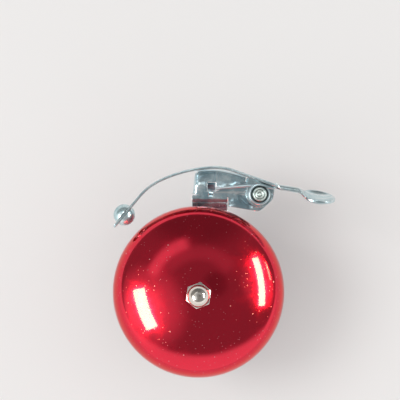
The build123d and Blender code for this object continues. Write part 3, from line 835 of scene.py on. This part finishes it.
# ------------------------------------------------ bracket
def make_bracket():
    """The pressed bracket: its flat blank is folded along its top and left edges and joggled at its neck."""
    mid_z = rim - sheet / 2
    left, top = -1.1, 42.85
    neck_left, neck_right, neck_top, base_r = -2.3, 10.3, 32.0, 8.0
    bend, flange_depth = 1.8, 4.2
    fold_r = bend - sheet / 2
    flange = fold_r * pi / 2 + flange_depth - bend
    # fold line of the flange: up the leaning left side, round the corner and down the sloping top edge
    flange_start = 34.2
    lean = (left - neck_left) / (top - neck_top)
    edge = Vector((lean, 1)).normalized()

    def fold_point(y):
        """Where the left flange starts to bend, inside the plate's leaning edge."""
        return Vector((neck_left + lean * (y - neck_top) + bend / edge.y, y))

    knee_x, foot_x, foot_y = 8.3, 17.0, 40.55       # the top edge slopes down between them
    slope = Vector((foot_x - knee_x, foot_y - top)).normalized()
    slope_out = Vector((-slope.y, slope.x))
    slope_end = Vector((foot_x, foot_y)) - slope_out * bend
    knee = Vector((knee_x, top - bend)) + Vector((tan(slope_out.angle(Vector((0, 1))) / 2) * -bend, 0))
    fold_start = fold_point(flange_start)
    fold_line = rounded([fold_start, fold_point(top - bend), knee, slope_end], [0, 0.5, 12, 0], False, 4)
    spans = list(zip(fold_line, fold_line[1:]))

    def edge_distance(p):
        """Foot of a point on the fold line, the outward direction there, and how far out the point is."""
        best = None
        for a, b in spans:
            along = b - a
            share = min(1.0, max(0.0, (p - a).dot(along) / along.length_squared))
            foot = a + along * share
            gap = (p - foot).length
            if best is None or gap < best[0] - 1e-9:
                best = (gap, foot, Vector((-along.y, along.x)).normalized())
        gap, foot, out = best
        if gap > 1e-6:
            straight = (p - foot) / gap
            if straight.dot(out) > 0:
                return foot, straight, gap
        return foot, out, -gap

    # neck: a joggle down to the base plate, walked towards -Y
    drop_y, drop_z = 2.6, 4.0
    steep = degrees(atan2(drop_z, drop_y))
    joggle_r = 1.6
    trim = joggle_r * tan(radians(steep / 2))
    neck_y = neck_top + trim
    neck = Path((neck_y, mid_z), 180).arc(joggle_r, steep)
    neck.line(hypot(drop_y, drop_z) - 2 * trim).arc(joggle_r, -steep)
    shift = neck.length - (neck_y - neck.point.x)    # how much longer the blank is than the bent bracket
    window = (3.1, 6.3, 35.3, 38.4)
    slot = (3.6, 5.3, 33.2)
    shear = 0.05
    stem = (slot[0] + shear, slot[1] - shear)
    head_x = (window[0] + shear, 6.0)
    tongue_t, tongue_length = 1.1, 4.9
    tongue_path = Path((slot[2], mid_z), 0).arc(1.15, -25).line(tongue_length)
    tip_y = window[3] - shear
    stretch = tongue_path.length / (tip_y - slot[2])    # the tongue is coined thinner, so it grows longer
    head_y = tip_y - 0.64 * tongue_length / stretch

    def on_tongue(x, y):
        """Whether a point of the blank lies on the T-shaped tongue in the window."""
        slack = shear / 2
        on_stem = stem[0] - slack < x < stem[1] + slack
        on_head = head_x[0] - slack < x < head_x[1] + slack and y > head_y - slack
        return slot[2] < y < tip_y + slack and (on_stem or on_head)

    def place(x, y, t):
        if y < neck_y and x < neck_right + 0.12:
            point, _, side = neck.at(neck_y - y)
            spot = point - side * t
            return Vector((x, spot.x, spot.y))
        if on_tongue(x, y):
            point, _, side = tongue_path.at((y - slot[2]) * stretch)
            thin = 1 - (1 - tongue_t / sheet) * ease((y - slot[2]) / 1.2)
            spot = point + side * t * thin
            return Vector((x, spot.x, spot.y))
        p = Vector((x, y))
        if (x < left + bend + 0.8 and (p - fold_start).dot(edge) > -0.08) or y > 37.0:
            foot, out, gap = edge_distance(p)
            if gap > 0 and (p - slope_end).dot(slope) < 0.1:
                along, height = roll(gap, t, fold_r, pi / 2)
                spot = foot + out * along
                return Vector((spot.x, spot.y, mid_z + height))
        return Vector((x, y, mid_z + t))

    outer = []
    for i, p in enumerate(fold_line):
        a = fold_line[max(i - 1, 0)]
        b = fold_line[min(i + 1, len(fold_line) - 1)]
        along = (b - a).normalized()
        outer.append(p + Vector((-along.y, along.x)) * flange)
    relief = 0.25
    head = [(neck_left, 33.8), fold_start - edge * relief]
    tail = [
        slope_end - slope_out * 0.1,
        slope_end - slope_out * 0.1 + slope * relief,
        slope_end + slope_out * 1.3 + slope * relief,
    ]
    plate_end = [tail[-1], (26.9, 36.6), (26.6, 32.4), (21.6, 28.0), (neck_right + relief, 29.86)]
    plate_end = rounded(plate_end, [0, 1.6, 5.0, 2.5, 0], False, 6)
    hub = Vector((0, -shift))
    shoulder_right, shoulder_left = (Vector((x, 28 - shift)) for x in (neck_right, neck_left))
    start = aim(hub, touch(shoulder_right, hub, base_r, 1))
    end = aim(hub, touch(shoulder_left, hub, base_r, -1)) - 360
    outline = [Vector(p) for p in head] + outer + tail[:-1] + plate_end
    outline += [Vector((x, neck_y + 0.1)) for x in (neck_right + relief, neck_right)] + [shoulder_right]
    outline += arc(hub.x, hub.y, base_r, start, end, 40) + [shoulder_left, Vector((neck_left, neck_top))]
    notch_low, notch_high, notch_x = 36.15 - 0.6, 36.15 + 0.6, 7.5      # round the spring's fixed leg
    x0, x1, y0, y1 = window
    opening = [
        (x0, y0), (slot[0], y0), (slot[0], slot[2]), (stem[0], slot[2]), (stem[0], head_y),
        (head_x[0], head_y), (head_x[0], tip_y), (head_x[1], tip_y), (head_x[1], head_y),
        (stem[1], head_y), (stem[1], slot[2]), (slot[1], slot[2]), (slot[1], y0), (x1, y0),
        (x1, notch_low), (notch_x, notch_low), (notch_x, notch_high), (x1, notch_high), (x1, y1), (x0, y1),
    ]
    radii = [0.1, 0, 0, 0, 0, 0.35, 0.35, 0.35, 0.35, 0, 0, 0, 0, 0.1, 0, 0.55, 0.55, 0, 0.3, 0.3]
    holes = [rounded(opening, radii, True, 15)]
    holes += [circle(pivot.x, pivot.y, rivet_hole), circle(hub.x, hub.y, sheet_hole)]
    blank = Sheet(outline, holes, sheet, edge=0.16)
    blank.slice("x", spread(fold_start.x - flange, left + bend + 0.5, 0.2))
    blank.slice("x", spread(1.5, 17.5, 1.0) + [neck_right + 0.12])
    top_bend = spread(37.5, top - bend + flange, 0.22)
    blank.slice("y", top_bend + [neck_y] + [neck_y - at for at in neck.cuts(6)])
    tongue_bend = [slot[2] + at / stretch for at in tongue_path.cuts(6)]
    blank.slice("y", tongue_bend + spread(slot[2] + 0.6, slot[2] + 1.4, 0.2))
    place_piece(blank.bent("bracket", place), "bracket", zinc_sheet, weighted=False)


make_bracket()


# ------------------------------------------------ clamp
def make_clamp_band():
    """A strap bent round the liner, with a flat seat on top and a lug at each end.

    Known fault: its upper half goes the long way round, so the upper lug is behind and not in front.
    """
    gap, width, reach = 3.0, 12.0, 25.1
    r = liner_r + band_t / 2
    seat_z = band_top - band_t / 2
    seat_half = 5.0
    lug_z = gap / 2 + band_t / 2
    root_r = 2.1
    root_y = -sqrt((r + root_r) ** 2 - (lug_z + root_r) ** 2)
    root = degrees(atan2(-lug_z - root_r, root_y)) % 360
    corner_point = Vector((seat_half, seat_z))
    lift = degrees(atan2(seat_z, seat_half)) - degrees(acos(r / corner_point.length))
    seat_turn = 90 - lift
    seat_r = 1.5
    trim = seat_r * tan(radians(seat_turn / 2))
    flank = sqrt(corner_point.length ** 2 - r * r) - trim
    path = Path((-reach, -lug_z), 0).line(reach + root_y).arc(root_r, root - 270)
    path.arc(r, 360 + lift - root).line(flank).arc(seat_r, seat_turn).line(2 * seat_half - 2 * trim)
    path.arc(seat_r, seat_turn).line(flank).arc(r, 360 + lift - root)
    path.arc(root_r, root - 270).line(reach + root_y)
    half = width / 2
    outline = rounded([(0, -half), (path.length, -half), (path.length, half), (0, half)], 4.5, True, 6)
    screw_at = reach + lug_screw[1]
    holes = [circle(at, 0, lug_hole, 32) for at in (screw_at, path.length - screw_at)]
    holes.append(circle(path.length / 2, 0, sheet_hole, 32))
    blank = Sheet(outline, holes, band_t, edge=0.16).slice("x", path.cuts(5))

    def place(x, y, t):
        point, _, side = path.at(x)
        spot = point - side * t
        return Vector((y, spot.x, spot.y))

    place_piece(blank.bent("clamp_band", place), "clamp_band", zinc_sheet, weighted=False)


def make_clamp_liner():
    """A rubber strip in the band, with raised rims on both sides and a hole for the centre screw's head."""
    half, inner, outer, lip, lip_w = 7.0, bar_r, liner_r, 0.9, 1.0
    section = [
        (inner, -half), (outer + lip, -half), (outer + lip, -half + lip_w), (outer, -half + lip_w),
        (outer, half - lip_w), (outer + lip, half - lip_w), (outer + lip, half), (inner, half),
    ]
    section = rounded(section, [0.3, 0.3, 0.2, 0.1, 0.1, 0.2, 0.3, 0.3], True, 30)
    gap = degrees(2 * asin(1.5 / 12.0))
    mesh = lathe("clamp_liner", section, segments=150, span=360 - gap, start=gap / 2)
    # the lathe's upright axis becomes the handlebar's, with the gap towards -Y
    mesh.transform(Matrix(((0, 0, 1, 0), (-1, 0, 0, 0), (0, 1, 0, 0), (0, 0, 0, 1))))
    obj = link("clamp_liner", mesh)
    outward(mesh)
    cut(obj, block(circle(0, 0, 5.0, 48), bar_r / 2, bar_r * 1.5))
    finish_piece(obj, "clamp_liner", black_rubber)


def make_clamp_nut():
    low, high = heights("clamp_nut")
    bore, lead = 2.0, 0.3
    shape, side = hexagon(3.5, low, high, 0.96)
    profile = [(bore, low + lead), (bore + lead, low)] + side + [(bore + lead, high), (bore, high - lead)]
    mesh = lathe("clamp_nut", profile, lug_screw, 96, shape=shape)
    place_piece(mesh, "clamp_nut", zinc_clamp, bevel=0.12)


make_clamp_band()
make_clamp_liner()
ring_piece("clamp_washer", zinc_clamp, 4.5, lug_hole, 0.15, lug_screw)
ring_piece("clamp_lock_washer", spring_wire, 3.6, lug_hole, 0.1, lug_screw, gap=0.9)
clamp_head_top = corner("clamp_washer", 0).z
make_screw("clamp_screw", zinc_clamp, lug_screw, 1.98, clamp_head_top, 10.5, 3.9, 1.4, (3.8, 0.9, 1.5), 0.7)
make_clamp_nut()


# ------------------------------------------------ pivot
def make_pivot_rivet():
    """Rivet set by orbital riveting, which leaves rings on its head."""
    low, high = heights("pivot_rivet")
    head_low = high - 1.1
    shank, head, tail = 1.55, 2.35, 2.6
    under = low + 0.9
    crown = []
    for r in spread(head - 0.45, 0, 0.04):
        ripple = 0.09 * cos(2 * pi * (r - rivet_crest) / rivet_ring) * min(1, (head - r) / 0.5)
        crown.append((max(r, 0), high - 0.1 + ripple))
    profile = [(0, low)] + arc(tail - 0.5, low + 0.5, 0.5, -90, 0, 6)
    profile += [(tail, under), (shank, under), (shank, head_low), (head, head_low)]
    profile += arc(head - 0.45, high - 0.55, 0.45, 0, 80, 6) + crown[1:]
    place_piece(lathe("pivot_rivet", profile, pivot), "pivot_rivet", zinc_pivot)


make_pivot_rivet()
ring_piece("pivot_washer", zinc_pivot, 4.0, 2.55, 0.12, pivot)
ring_piece("pivot_bush", zinc_pivot, 2.5, rivet_hole, 0.15, pivot)


# ------------------------------------------------ lever
ball_offset = 5.6
spine = Path(ball - unit(radians(tail_angle)) * ball_offset, tail_angle)
spine.line(13.94).arc(21.4, -25.1).arc(48.5, -21.9).arc(20, -22.6)
shank_start, shank_length = spine.length, 15.3
spine.line(shank_length)
kink_start = spine.length
spine.arc(3, 10.5)
kink_end = spine.length
spine.line(8.2)
arm_end = spine.length


def make_lever():
    """One strip: it holds the ball, carries the ear on the pivot and ends in a dished thumb pad."""
    shank_point, shank_dir, shank_up = spine.at(shank_start + 1)
    arm_point, arm_dir, arm_up = spine.at(arm_end)
    pad_centre = Vector((41.9, 33.5))
    pad_r, pad_tilt = 6.1, radians(18)
    pad_s = arm_end + (pad_centre - arm_point).dot(arm_dir)
    pad_rise = (pad_centre - arm_point).dot(arm_up)
    half_w = (strip_front - strip_rear) / 2
    # ear folded down from the rear edge
    ear_r, ear_hole, ear_fold = 4.65, 2.56, 0.65
    fold_w = strip_rear + strip_t / 2 + ear_fold
    ear_s = shank_start + 1 + (pivot - shank_point).dot(shank_dir)
    ear_q = -(pivot - shank_point).dot(shank_up)
    ear_start = shank_start + 0.36 * shank_length
    # arm flanges turned down
    flange_fold, flange_h = 0.6, 1.2
    flange_w = half_w - strip_t / 2 - flange_fold
    flange_reach = flange_w + flange_fold * pi / 2 + flange_h - flange_fold
    ramp_in, ramp_out = 1.8, 3.2

    def flange_share(s):
        return ease((s - kink_end) / ramp_in) * (1 - ease((s - arm_end + 0.4) / ramp_out))

    def dish(s, w):
        away = min(1.0, hypot(s - pad_s, w) / (pad_r - 0.5))
        return -0.3 - 1.6 * (1 - away ** 2.6)

    def place(s, w, t):
        near_ear = ear_start - 0.15 < s < kink_start + 1.2 and w < min(fold_w - strip_mid, -half_w + 1.4)
        if near_ear and not on_strip(s, w):
            along, height = roll(fold_w - strip_mid - w, t, ear_fold, pi / 2)
            spot = shank_point + shank_dir * (s - shank_start - 1) + shank_up * height
            return Vector((spot.x, spot.y, fold_w - along))
        point, _, up = spine.at(s)
        share = flange_share(s)
        across, height = w, t
        if share > 0 and abs(w) > flange_w:
            along, height = roll(abs(w) - flange_w, t, flange_fold, share * pi / 2)
            across = copysign(flange_w + along, w)
        if s > arm_end - 1:
            reach = ease((s - arm_end + 1) / (pad_s - arm_end - 2.5))
            tilt = pad_tilt * reach
            centre = point + up * pad_rise * reach
            height += dish(s, w) * ease((s - pad_s + pad_r) / 1.5)
            middle = Vector((centre.x, centre.y, strip_mid))
            normal = Vector((up.x, up.y, 0)) * cos(tilt) + UP * sin(tilt)
            wide = UP * cos(tilt) - Vector((up.x, up.y, 0)) * sin(tilt)
            return middle + normal * height + wide * across
        spot = point + up * height
        return Vector((spot.x, spot.y, strip_mid + across))

    def on_strip(s, w):
        """Rear edge of the strip beside the ear, which stays straight."""
        return w > -half_w - 0.05 and not ear_start - 0.02 < s < kink_start + 0.02

    taper_start, taper_end = s_at_x(-18), s_at_x(-6)
    ear_start_hull = Vector((ear_start, 0))
    ear_end_hull = Vector((kink_start, 0))
    hub = Vector((ear_s, ear_q))
    left_touch, right_touch = touch(ear_start_hull, hub, ear_r, 1), touch(ear_end_hull, hub, ear_r, -1)

    def ear_w(q):
        """Blank height of a point q below the spine, on the folded ear."""
        return fold_w - strip_mid - ear_fold * pi / 2 - (q - ear_fold)

    rounding = arc(hub.x, hub.y, ear_r, aim(hub, left_touch), aim(hub, right_touch), 44)
    ear = [Vector((p.x, ear_w(p.y))) for p in rounding]
    slit = 0.25
    root = fold_w - strip_mid + 0.05

    def on_hull(a, b, q):
        return a.x + (b.x - a.x) * (q - a.y) / (b.y - a.y)

    ear_left = Vector((on_hull(ear_start_hull, left_touch, ear_fold), ear_w(ear_fold)))
    ear_right = Vector((on_hull(ear_end_hull, right_touch, ear_fold), ear_w(ear_fold)))
    front = [(0.0, 3.0), (taper_start, 3.0), (taper_end, half_w), (kink_end, half_w)]
    flare = flange_reach - half_w
    front += [(kink_end + ramp_in * k / 6, half_w + flare * ease(k / 6)) for k in range(1, 7)]
    neck_end = pad_s - sqrt(pad_r ** 2 - half_w ** 2)
    out_start, out_end = arm_end - 0.4, neck_end - 0.4
    out_length = out_end - out_start
    front += [(out_start + out_length * k / 8, flange_reach - flare * ease(k / 8)) for k in range(9)]
    swing = degrees(atan2(half_w, sqrt(pad_r ** 2 - half_w ** 2)))
    pad = arc(pad_s, 0, pad_r, 180 - swing, swing - 180, 72)
    back = [(s, -w) for s, w in reversed(front)]
    rear_tip = -1.9
    rear = [p for p in back if p[0] >= kink_end - 1e-6]
    rear += [(kink_start + slit, -half_w), (kink_start + slit, root), (kink_start, root), ear_right]
    rear += list(reversed(ear))
    rear += [ear_left, (ear_start, root), (ear_start - slit, root), (ear_start - slit, -half_w)]
    rear += [(taper_end, -half_w), (taper_start, rear_tip), (0.0, rear_tip)]
    tip_top = arc(1.3, 3.0 - 1.3, 1.3, 180, 90, 8)
    tip_bottom = arc(1.3, rear_tip + 1.3, 1.3, 270, 180, 8)
    outline = tip_top + [Vector(p) for p in front[1:]] + pad + [Vector(p) for p in rear[:-1]] + tip_bottom
    hole_s = (kink_start + kink_end) / 2
    hole_w = rim + 5.3 - strip_mid
    holes = [circle(ear_s, ear_w(ear_q), ear_hole, 48), circle(hole_s, hole_w, 0.58, 20)]
    outline = thin_out(outline, 0.02)
    blank = Sheet(outline, holes, strip_t, edge=0.24, rows=4)
    along_arm = spread(kink_end, arm_end - 1, 0.5) + spread(arm_end - 1, pad_s + pad_r, 0.35)
    blank.slice("x", spine.cuts(2) + along_arm)
    folds = spread(flange_w, flange_w + flange_fold * pi / 2, 0.13)
    blank.slice("y", folds + [-w for w in folds] + spread(-pad_r, pad_r, 0.45))
    blank.slice("y", [fold_w - strip_mid - u for u in spread(0, ear_fold * pi / 2, 0.13)])
    place_piece(blank.bent("lever", place), "lever", zinc_strip, "lever", weighted=False)


def s_at_x(x):
    """Length along the lever's spine at which it reaches an x."""
    low, high = 0.0, spine.length
    for _ in range(40):
        middle = (low + high) / 2
        if spine.at(middle)[0].x < x:
            low = middle
        else:
            high = middle
    return low


def thin_out(points, least):
    """Drop points that lie closer than least to the one before."""
    made = []
    for p in points:
        if not made or (p - made[-1]).length > least:
            made.append(p)
    if (made[0] - made[-1]).length <= least:
        made.pop()
    return made


make_lever()


def make_striker_ball():
    """A ball with a slot, pressed on the end of the strip."""
    profile = arc(0, strip_mid, ball_r, -90, 90, 72)
    profile[0] = (0, strip_mid - ball_r)
    profile[-1] = (0, strip_mid + ball_r)
    obj = link("striker_ball", lathe("striker_ball", profile, ball, 120))
    along = unit(radians(tail_angle))
    aside = Vector((-along.y, along.x))
    a, b = along * ball_r * 1.5, aside * (strip_t / 2 + 0.09)
    slot = [ball - a - b, ball + a - b, ball + a + b, ball - a + b]
    cut(obj, block(slot, strip_mid - 1.92, strip_mid + ball_r * 2))
    finish_piece(obj, "striker_ball", striker, "lever", bevel=0.1)


make_striker_ball()


# ------------------------------------------------ torsion spring
def make_spring():
    """Round wire: a leg hooked into the bracket, turns round the bush, and a leg hooked into the lever."""
    wire_r, coil_r, pitch, turns = 0.45, 3.35, 1.0, 3
    rear = rim + 2.3
    hole = spring_hole
    kink_point, _, up = spine.at((kink_start + kink_end) / 2)
    moving_end = kink_point - up * 1.15
    fixed_touch = touch(hole, pivot, coil_r, 1)
    moving_touch = touch(moving_end, pivot, coil_r, -1)
    begin = bearing(fixed_touch - pivot)
    sweep = turns * 2 * pi + (begin - bearing(moving_touch - pivot))
    front = rear + sweep / (2 * pi) * pitch
    back = rim - sheet - wire_r - 0.25
    line = [(hole.x + 1.2, hole.y, back), (*hole, back), (*hole, rear), (*fixed_touch, rear)]
    line = rounded(line, [0, 0.6, 0.8, 0], False, 10)
    steps = 37 * turns
    for k in range(1, steps):
        share = k / steps
        angle = begin - sweep * share
        x, y = pivot.x + coil_r * cos(angle), pivot.y + coil_r * sin(angle)
        line.append(Vector((x, y, rear + (front - rear) * share)))
    end = moving_end + up * 1.95
    line += rounded([(*moving_touch, front), (*moving_end, front), (*end, front)], [0, 0.8, 0], False, 10)
    obj = link("torsion_spring_mesh", tube("torsion_spring", line, wire_r))
    finish_piece(obj, "torsion_spring", spring_wire, None, weighted=False)
    obj.data.shade_smooth()
    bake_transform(obj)


make_spring()


# ------------------------------------------------ floor, light and camera
def make_floor():
    size = 3.0
    mesh = bpy.data.meshes.new("floor")
    level = cad_lo.z - 0.001
    corners = [(-size, -size, level), (size, -size, level), (size, size, level), (-size, size, level)]
    mesh.from_pydata(corners, [], [(0, 1, 2, 3)])
    floor = link("floor", mesh)
    s = Shader("floor")
    s.set(Base_Color=s.mix(s.noise(3, 2, 0.5), (0.83, 0.825, 0.82), (0.86, 0.86, 0.855)))
    s.set(Roughness=0.9, Specular_IOR_Level=0.2)
    mesh.materials.append(s.material)


def direction(azimuth, polar):
    """Unit vector; azimuth from +X in the floor's plane, polar from straight up, in degrees."""
    a, p = radians(azimuth), radians(polar)
    return Vector((sin(p) * cos(a), sin(p) * sin(a), cos(p)))


def lamp(name, azimuth, polar, wide, strength, colour, pieces=None, high=None):
    """A large soft light, in degrees across. It is mirrored only in the pieces that it is kept for.

    A disk's strength is the light that it throws on the bell. If high is given, the lamp is a flat soft box
    of wide by high degrees, and its strength is how bright it looks.
    """
    distance = 2.5
    target = Vector((0, 10, rim)) * MM if high is None else Vector((0, 0, rim)) * MM
    light = bpy.data.lights.new(name, "AREA")
    light.size = 2 * distance * tan(radians(wide / 2))
    light.color = colour
    if high is None:
        light.shape = "DISK"
        light.energy = strength * 4 * distance ** 2
    else:
        light.shape = "RECTANGLE"
        light.size_y = 2 * distance * tan(radians(high / 2))
        light.energy = strength * pi * light.size * light.size_y
    obj = link(name, light)
    obj.location = target + direction(azimuth, polar) * distance
    obj.rotation_mode = "QUATERNION"
    obj.rotation_quaternion = (obj.location - target).to_track_quat("Z", "Y")
    obj.visible_camera = False
    if pieces:
        lit = bpy.data.collections.new(name + "_pieces")
        for piece in pieces:
            lit.objects.link(piece)
        obj.light_linking.receiver_collection = lit
    else:
        obj.visible_glossy = False


def make_room():
    """The studio round the bell, by direction only: soft patches and bands of light, and a few of shade."""
    world = bpy.data.worlds.new("studio")
    bpy.context.scene.world = world
    world.use_nodes = True
    world.node_tree.nodes.clear()
    w = Nodes(world.node_tree)
    ray = w.node("TexCoord").outputs["Generated"]

    def patch(azimuth, polar, outer, inner, strength):
        """A smooth round patch of light, or of shade if strength is below 0."""
        near = w.vector("DOT_PRODUCT", ray, direction(azimuth, polar))
        return w.span(near, cos(radians(outer)), cos(radians(inner)), 0.0, strength)

    height = w.math("ARCCOSINE", w.vector("DOT_PRODUCT", ray, UP))

    def band(azimuth, polar, wide, high, soft, strength):
        """A band round the upright axis that spans +-wide by +-high degrees and fades over soft degrees."""
        side = w.vector("DOT_PRODUCT", ray, direction(azimuth + 90, 90))
        turned = w.math("ARCTAN2", side, w.vector("DOT_PRODUCT", ray, direction(azimuth, 90)))
        along = w.math("ABSOLUTE", w.math("SUBTRACT", height, radians(polar)))
        ends = w.span(w.math("ABSOLUTE", turned), radians(wide + soft * 2), radians(wide))
        return w.math("MULTIPLY", ends, w.span(along, radians(high + soft), radians(high), 0.0, strength))

    surroundings = 0.27
    parts = (
        patch(200, 48, 40, 12, 0.42),
        patch(200, 54, 24, 8, 0.5),
        patch(7, 59, 24, 8, 0.25),
        band(132, 44, 22, 1.5, 7, 0.62),
        band(90, 34, 48, 2, 9, 0.14),
        patch(90, 75, 45, 20, -0.10),
        patch(20, 16, 14, 5, -0.10),
        patch(270, 155, 97.5, 91, 0.72),
    )
    for part in parts:
        surroundings = w.math("ADD", surroundings, part)
    ray_kind = w.node("LightPath").outputs
    soft_light = w.math("MULTIPLY", ray_kind["Is Diffuse Ray"], 0.42)
    shown = w.node("Mix", data_type="FLOAT")
    w.feed(shown.inputs[0], ray_kind["Is Camera Ray"])
    w.feed(shown.inputs[2], w.math("ADD", surroundings, soft_light))
    w.feed(shown.inputs[3], 0.95)
    back = w.node("Background")
    w.feed(back.inputs["Color"], (1.0, 0.985, 0.98, 1))
    w.feed(back.inputs["Strength"], shown.outputs[0])
    w.feed(w.node("OutputWorld").inputs["Surface"], back.outputs[0])


def make_camera():
    """Straight above the bell, half a metre from the plane that its size was measured in."""
    distance, view_width = 500.0, 139.86
    camera = bpy.data.cameras.new("camera")
    camera.sensor_width = 36.0
    camera.lens = camera.sensor_width * distance / view_width
    obj = link("camera", camera)
    obj.location = Vector((0.52, 32.1, rim + 6 + distance)) * MM
    bpy.context.scene.camera = obj


make_floor()
make_room()
lamp("fill", 168, 36, 24, 0.55, (1.0, 0.99, 0.98))
meshes = [o for o in bpy.context.scene.objects if o.type == "MESH" and o.name != "floor"]
dome_pieces = [o for o in meshes if o.active_material == red]
plated_pieces = [o for o in meshes if o.active_material != red]
zinc_kinds = (zinc_sheet, zinc_strip, zinc_pivot, striker, spring_wire)
zinc = [o for o in plated_pieces if o.active_material in zinc_kinds]
lamp("zinc_glint", 105, 24, 24, 0.35, (1.0, 1.0, 1.0), zinc)
for lit, colour, strength in ((dome_pieces, (1.0, 0.80, 0.36), 36), (plated_pieces, (1.0, 1.0, 1.0), 17)):
    lamp("left_box", 200, 53, 33, strength, colour, lit, 12)
    lamp("right_box", 7, 58, 38, strength, colour, lit, 6.5)
    lamp("right_strip", 14, 68, 14, strength * 0.4, colour, lit, 2)
make_camera()
bpy.context.scene.view_settings.view_transform = "Standard"
